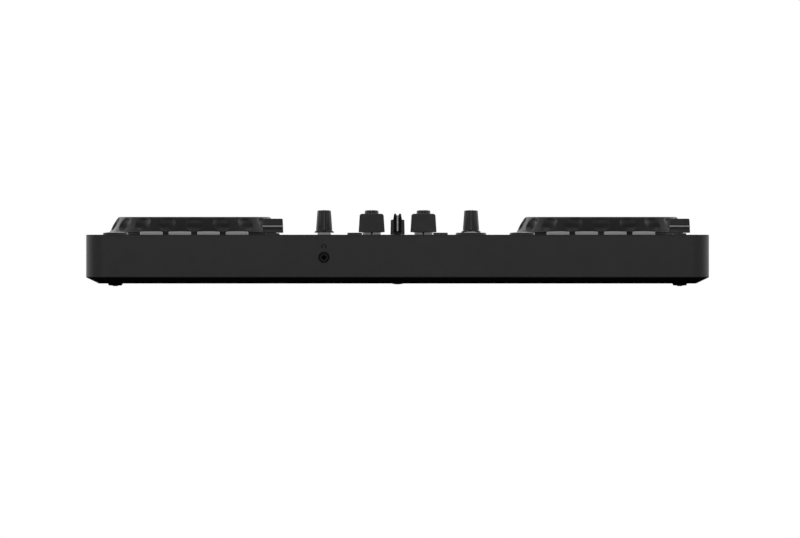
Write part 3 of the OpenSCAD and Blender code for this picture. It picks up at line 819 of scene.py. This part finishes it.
knobNodes = [f"{band}_knob_{side}" for side in sides for band in ("low", "mid", "high")]
knobNodes += ["headphone_mix_knob", "headphone_level_knob", "master_level_knob", "browse_knob"]
for node in knobNodes:
    spot = middleOf(node)
    addPiece(node + "_grip", lathe(node, knobProfile(knobShape), 240, spot, knobReach(knobShape)),
             node, "knob_rubber", stands=[node], angle=38)
    if node != "browse_knob":
        addPiece(node + "_pointer", pointerMesh(spot, knobShape), node, "knob_rubber", inkLight)
print("knobs done")

# Fader caps

cap = {
    "edge": 0.3,
    "footFrom": 0.05, "footTo": 0.14, "footGap": 0.03,  # heights above the panel
    "lineHalfWidth": 0.45, "shadeHalfWidth": 0.95, "shadeOff": 1.45,
}


def capMesh(node, c):
    # The foot of a cap that all but touches the panel is drawn down to a hair above it.
    mesh = softened(node, c["edge"], segments=3)
    for v in mesh.vertices:
        if c["footFrom"] < v.co.z / mm - panelTop < c["footTo"]:
            v.co.z = (panelTop + c["footGap"]) * mm
    return mesh


for node in ["crossfader_cap"] + [f"{kind}_cap_{side}" for kind in ("tempo", "channel")
                                  for side in sides]:
    addPiece(node + "_body", capMesh(node, cap), node, "cap_plastic", stands=[node],
             keepFlat=True)


def channelLine(node, c):
    # Over the top of the cap, from side to side
    spot = middleOf(node)
    z = panelTop + 12.4
    path = [(-7.7, z - 0.9), (-7.45, z - 0.1), (-6.9, z + 0.02), (6.9, z + 0.02), (7.45, z - 0.1),
            (7.7, z - 0.9)]
    return ribbon("line", path, c["lineHalfWidth"], ((spot.x, spot.y, 0), (1, 0, 0)), 0.04)


def crossLine(node, c):
    # Down the front face, along the valley between the two fins and down the back
    spot = middleOf(node)
    valley = panelTop + 12.1
    half = [(8.36, panelTop + 2.25), (7.53, panelTop + 11.8), (7.46, valley - 0.1),
            (7.3, valley + 0.03)]
    path = [(-f, z) for f, z in half] + [(f, z) for f, z in reversed(half)]
    return ribbon("line", path, c["lineHalfWidth"], ((spot.x, spot.y, 0), (0, 1, 0)), 0.03)


def crossPaintedShade(node, c):
    # Painted shade: dark matt strips on both sides of the line, on the front and back faces
    spot = middleOf(node)
    path = [(8.37, panelTop + 2.25), (7.56, panelTop + 11.6)]
    strips = [ribbon("shade", path, c["shadeHalfWidth"],
                     ((spot.x + sign * c["shadeOff"], spot.y, 0), (0, forward, 0)), 0.02)
              for sign in (-1, 1) for forward in (-1, 1)]
    return joinMeshes("shade", strips)


def tempoLedgeHighlight(node):
    # Painted highlight: a lighter band on the ledge that runs round the cap below its grip
    spot, z = middleOf(node), panelTop
    rows = [(0.08, z + 4.8), (-0.04, z + 4.86), (-0.04, z + 5.66), (0.12, z + 5.8)]
    return loft("band", [roundedLoop((6.45, 5.6), 0.5, inset, height, spot, 4)
                         for inset, height in rows])


for side in sides:
    node = "channel_cap_" + side
    addPiece(node + "_line", channelLine(node, cap), node, "cap_plastic", inkLight)
    node = "tempo_cap_" + side
    # painted highlight on the tempo cap's ledge
    addPiece(node + "_painted_highlight", tempoLedgeHighlight(node), node, "cap_plastic", paintedHighlightGrey)
node = "crossfader_cap"
addPiece(node + "_line", crossLine(node, cap), node, "cap_plastic", inkLight)
# painted shade beside the crossfader line
addPiece(node + "_shade", crossPaintedShade(node, cap), node, "cap_plastic", inkDarkAndPaintedShade)
print("fader caps done")

# Sockets


def laidDown(mesh, place, towards):
    # Turns a lathed mesh from +Z to point along +Y or -Y, then puts its foot at place.
    turn = Matrix.Rotation(math.radians(-90 if towards > 0 else 90), 4, "X")
    mesh.transform(Matrix.Translation(Vector(place) * mm) @ turn)
    return mesh


def block(name, low, high, corner, edge):
    centre = ((low[0] + high[0]) / 2, (low[1] + high[1]) / 2)
    half = ((high[0] - low[0]) / 2, (high[1] - low[1]) / 2)
    rows = [(edge, low[2]), (0, low[2] + edge)] + fillet(edge, high[2])
    return loft(name, [roundedLoop(half, corner, inset, height, centre) for inset, height in rows])


jack = {"ring": 3.35, "face": 2.55, "bore": 1.8, "sleeve": 1.42, "groove": 1.8, "neck": 3.0,
        "barrel": 4.1, "depth": 10.0, "height": 18.0}
jackLow, jackHigh = spanOf("headphone_jack")
jackFace = ((jackLow.x + jackHigh.x) / 2, jackLow.y, jack["height"])


def jackPaintedShade(j):
    # Painted shade: matt black lining of the groove round the socket, and of its bore, where shade
    # falls
    ring = [(j["face"] + 0.01, -0.9), (j["ring"] - 0.21, -0.9), (j["ring"] - 0.21, -0.45),
            (j["ring"] - 0.25, -0.45), (j["ring"] - 0.25, -0.8), (j["face"] + 0.05, -0.8),
            (j["face"] + 0.05, -0.35), (j["face"] + 0.01, -0.35), (j["face"] + 0.01, -0.9)]
    hole = [(0, -3.1), (j["sleeve"] - 0.01, -3.1), (j["sleeve"] - 0.01, -0.3),
            (j["sleeve"] - 0.06, -0.3), (j["sleeve"] - 0.06, -3.0), (0, -3.0)]
    return joinMeshes("shade", [laidDown(lathe("part", profile, 72, (0, 0)), jackFace, -1)
                                for profile in (ring, hole)])


def jackPieces(j):
    nozzle = [(0, -j["depth"] - 0.5), (j["barrel"], -j["depth"] - 0.5), (j["barrel"], -j["neck"]),
              (j["ring"], -j["neck"]), (j["ring"], -0.5), (j["ring"] - 0.2, -0.5),
              (j["ring"] - 0.2, -j["groove"]), (j["face"], -j["groove"]), (j["face"], -0.12),
              (j["face"] - 0.12, 0), (j["bore"] + 0.15, 0), (j["bore"], -0.2),
              (j["bore"], -j["depth"]), (0, -j["depth"])]
    sleeve = [(j["sleeve"], -j["depth"] + 1), (j["bore"] - 0.02, -j["depth"] + 1),
              (j["bore"] - 0.02, -0.12), (j["sleeve"] + 0.15, -0.12), (j["sleeve"], -0.27),
              (j["sleeve"], -j["depth"] + 1)]
    body = block("body", (jackLow.x, jackLow.y + j["depth"] + 0.4, jackLow.z), tuple(jackHigh),
                 0.6, 0.3)
    front = joinMeshes("jack", [laidDown(lathe("nozzle", nozzle, 72, (0, 0)), jackFace, -1), body])
    return front, laidDown(lathe("sleeve", sleeve, 48, (0, 0)), jackFace, -1)


jackBody, jackSleeve = jackPieces(jack)
addPiece("headphoneJack", jackBody, "case", "jack_plastic", stands=["headphone_jack"])
addPiece("jackSleeve", jackSleeve, "case", "jack_plastic")
# painted shade in the groove and bore of the jack
addPiece("jackGroovePaintedShade", jackPaintedShade(jack), "case", "jack_plastic", inkDarkAndPaintedShade)

rca = {"barrel": 4.15, "inside": 3.6, "length": 9.0, "insert": 3.55, "hole": 1.65, "nut": 5.1,
       "nutRise": 0.9, "spots": (24, 40), "height": 18.0, "body": (12, 12, 10)}


def rcaPieces(r):
    low, high = spanOf("rca_sockets")
    n, root, back = r["length"], -2.8, -2.6
    shell = [(r["inside"], root), (r["nut"], root), (r["nut"], r["nutRise"] - 0.2),
             (r["nut"] - 0.2, r["nutRise"]), (r["barrel"], r["nutRise"]), (r["barrel"], n - 0.25),
             (r["barrel"] - 0.25, n), (r["inside"] + 0.15, n), (r["inside"], n - 0.25),
             (r["inside"], root)]
    insert = [(r["hole"], back), (r["insert"], back), (r["insert"], n - 1.1),
              (r["insert"] - 0.2, n - 0.9), (r["hole"] + 0.25, n - 0.9), (r["hole"], n - 1.15),
              (r["hole"], back)]
    contact = [(0, back), (r["hole"] - 0.05, back), (r["hole"] - 0.05, n - 1.6), (1.1, n - 1.6),
               (1.1, n - 4), (0, n - 4)]
    spots = [(x, high.y - n, r["height"]) for x in r["spots"]]
    width, depth, rise = r["body"]

    def both(profile, steps):
        return [laidDown(lathe("part", profile, steps, (0, 0)), spot, 1) for spot in spots]

    bodies = [block("body", (x - width / 2, low.y, low.z),
                    (x + width / 2, low.y + depth, low.z + rise), 0.5, 0.25) for x in r["spots"]]
    return both(shell, 64), both(insert, 64), both(contact, 32), bodies


shells, inserts, contacts, bodies = rcaPieces(rca)
addPiece("rcaBarrels", joinMeshes("rca", shells + contacts), "case", "rca_plating",
         stands=["rca_sockets"])
addPiece("rcaBodies", joinMeshes("rcaBodies", bodies), "case", "jack_plastic")
addPiece("rcaInsertLeft", inserts[0], "case", "jack_plastic", insertRed)
addPiece("rcaInsertRight", inserts[1], "case", "jack_plastic", insertWhite)
addPiece("usbShell", softened("usb_port", caseEdge["usb"]), "case", "usb_steel",
         stands=["usb_port"], keepFlat=True)
print("sockets done")

# Printed marks

marks = {"lift": 0.03, "tickLength": 3.2, "tickWidth": 0.35, "tickOff": 5.2, "dotRadius": 0.42,
         "dotOrbit": 8.4, "dotTurn": 28, "travel": 45.0, "sunk": 0.005, "headphonesHeight": 25.3}


def plate(points, height, lift):
    # A flat outline, printed as a very thin layer
    n = len(points)
    solid = [(x, y, height) for x, y in points] + [(x, y, height + lift) for x, y in points]
    faces = [tuple(reversed(range(n))), tuple(range(n, 2 * n))]
    faces += [(i, (i + 1) % n, n + (i + 1) % n, n + i) for i in range(n)]
    return meshFrom("mark", solid, faces)


def bar(x, y, width, depth):
    return [(x - width / 2, y - depth / 2), (x + width / 2, y - depth / 2),
            (x + width / 2, y + depth / 2), (x - width / 2, y + depth / 2)]


def dot(x, y, radius, steps=16):
    return [(x + radius * math.cos(2 * math.pi * i / steps),
             y + radius * math.sin(2 * math.pi * i / steps)) for i in range(steps)]


def faderTicks(node, m, turned=False):
    spot, shapes = middleOf(node), []
    for k in range(11):
        along = (k / 10 - 0.5) * m["travel"]
        long = m["tickLength"] * (1.4 if k % 5 == 0 else 1)
        for sign in (-1, 1):
            off = sign * (m["tickOff"] + long / 2)
            if turned:
                shapes.append(bar(spot.x + along, spot.y + off, m["tickWidth"], long))
            else:
                shapes.append(bar(spot.x + off, spot.y + along, long, m["tickWidth"]))
    return shapes


def knobDots(node, m):
    spot = middleOf(node)
    turns = [math.radians(90 + m["dotTurn"] * k) for k in range(-5, 6)]
    return [dot(spot.x + m["dotOrbit"] * math.cos(a), spot.y + m["dotOrbit"] * math.sin(a),
                m["dotRadius"]) for a in turns]


outlines = faderTicks("crossfader_cap", marks, turned=True)
for side in sides:
    outlines += faderTicks("tempo_cap_" + side, marks) + faderTicks("channel_cap_" + side, marks)
for node in knobNodes:
    if node != "browse_knob":
        outlines += knobDots(node, marks)
addPiece("panelMarks",
         joinMeshes("panelMarks", [plate(outline, panelTop - marks["sunk"], marks["lift"])
                                   for outline in outlines]),
         "case", "panel_plastic", inkLight)
print("printed marks done")


def headphoneMark(front, x, z):
    # A headband with two ear cups, on the front wall above the jack
    steps = 14
    outer = [(1.5 * math.cos(math.pi * i / steps), 1.3 * math.sin(math.pi * i / steps))
             for i in range(steps + 1)]
    inner = [(c * 0.7, h * 0.66) for c, h in reversed(outer)]
    shapes = [outer + inner] + [bar(sign * 1.2, -0.55, 0.85, 1.2) for sign in (-1, 1)]
    mesh = joinMeshes("mark", [plate(outline, 0, marks["lift"]) for outline in shapes])
    mesh.transform(Matrix.Translation(Vector((x, front + marks["lift"] - 0.008, z)) * mm)
                   @ Matrix.Rotation(math.radians(90), 4, "X"))
    return mesh


addPiece("headphoneMark", headphoneMark(jackLow.y, jackFace[0], marks["headphonesHeight"]),
         "case", "case_plastic", inkDarkAndPaintedShade)
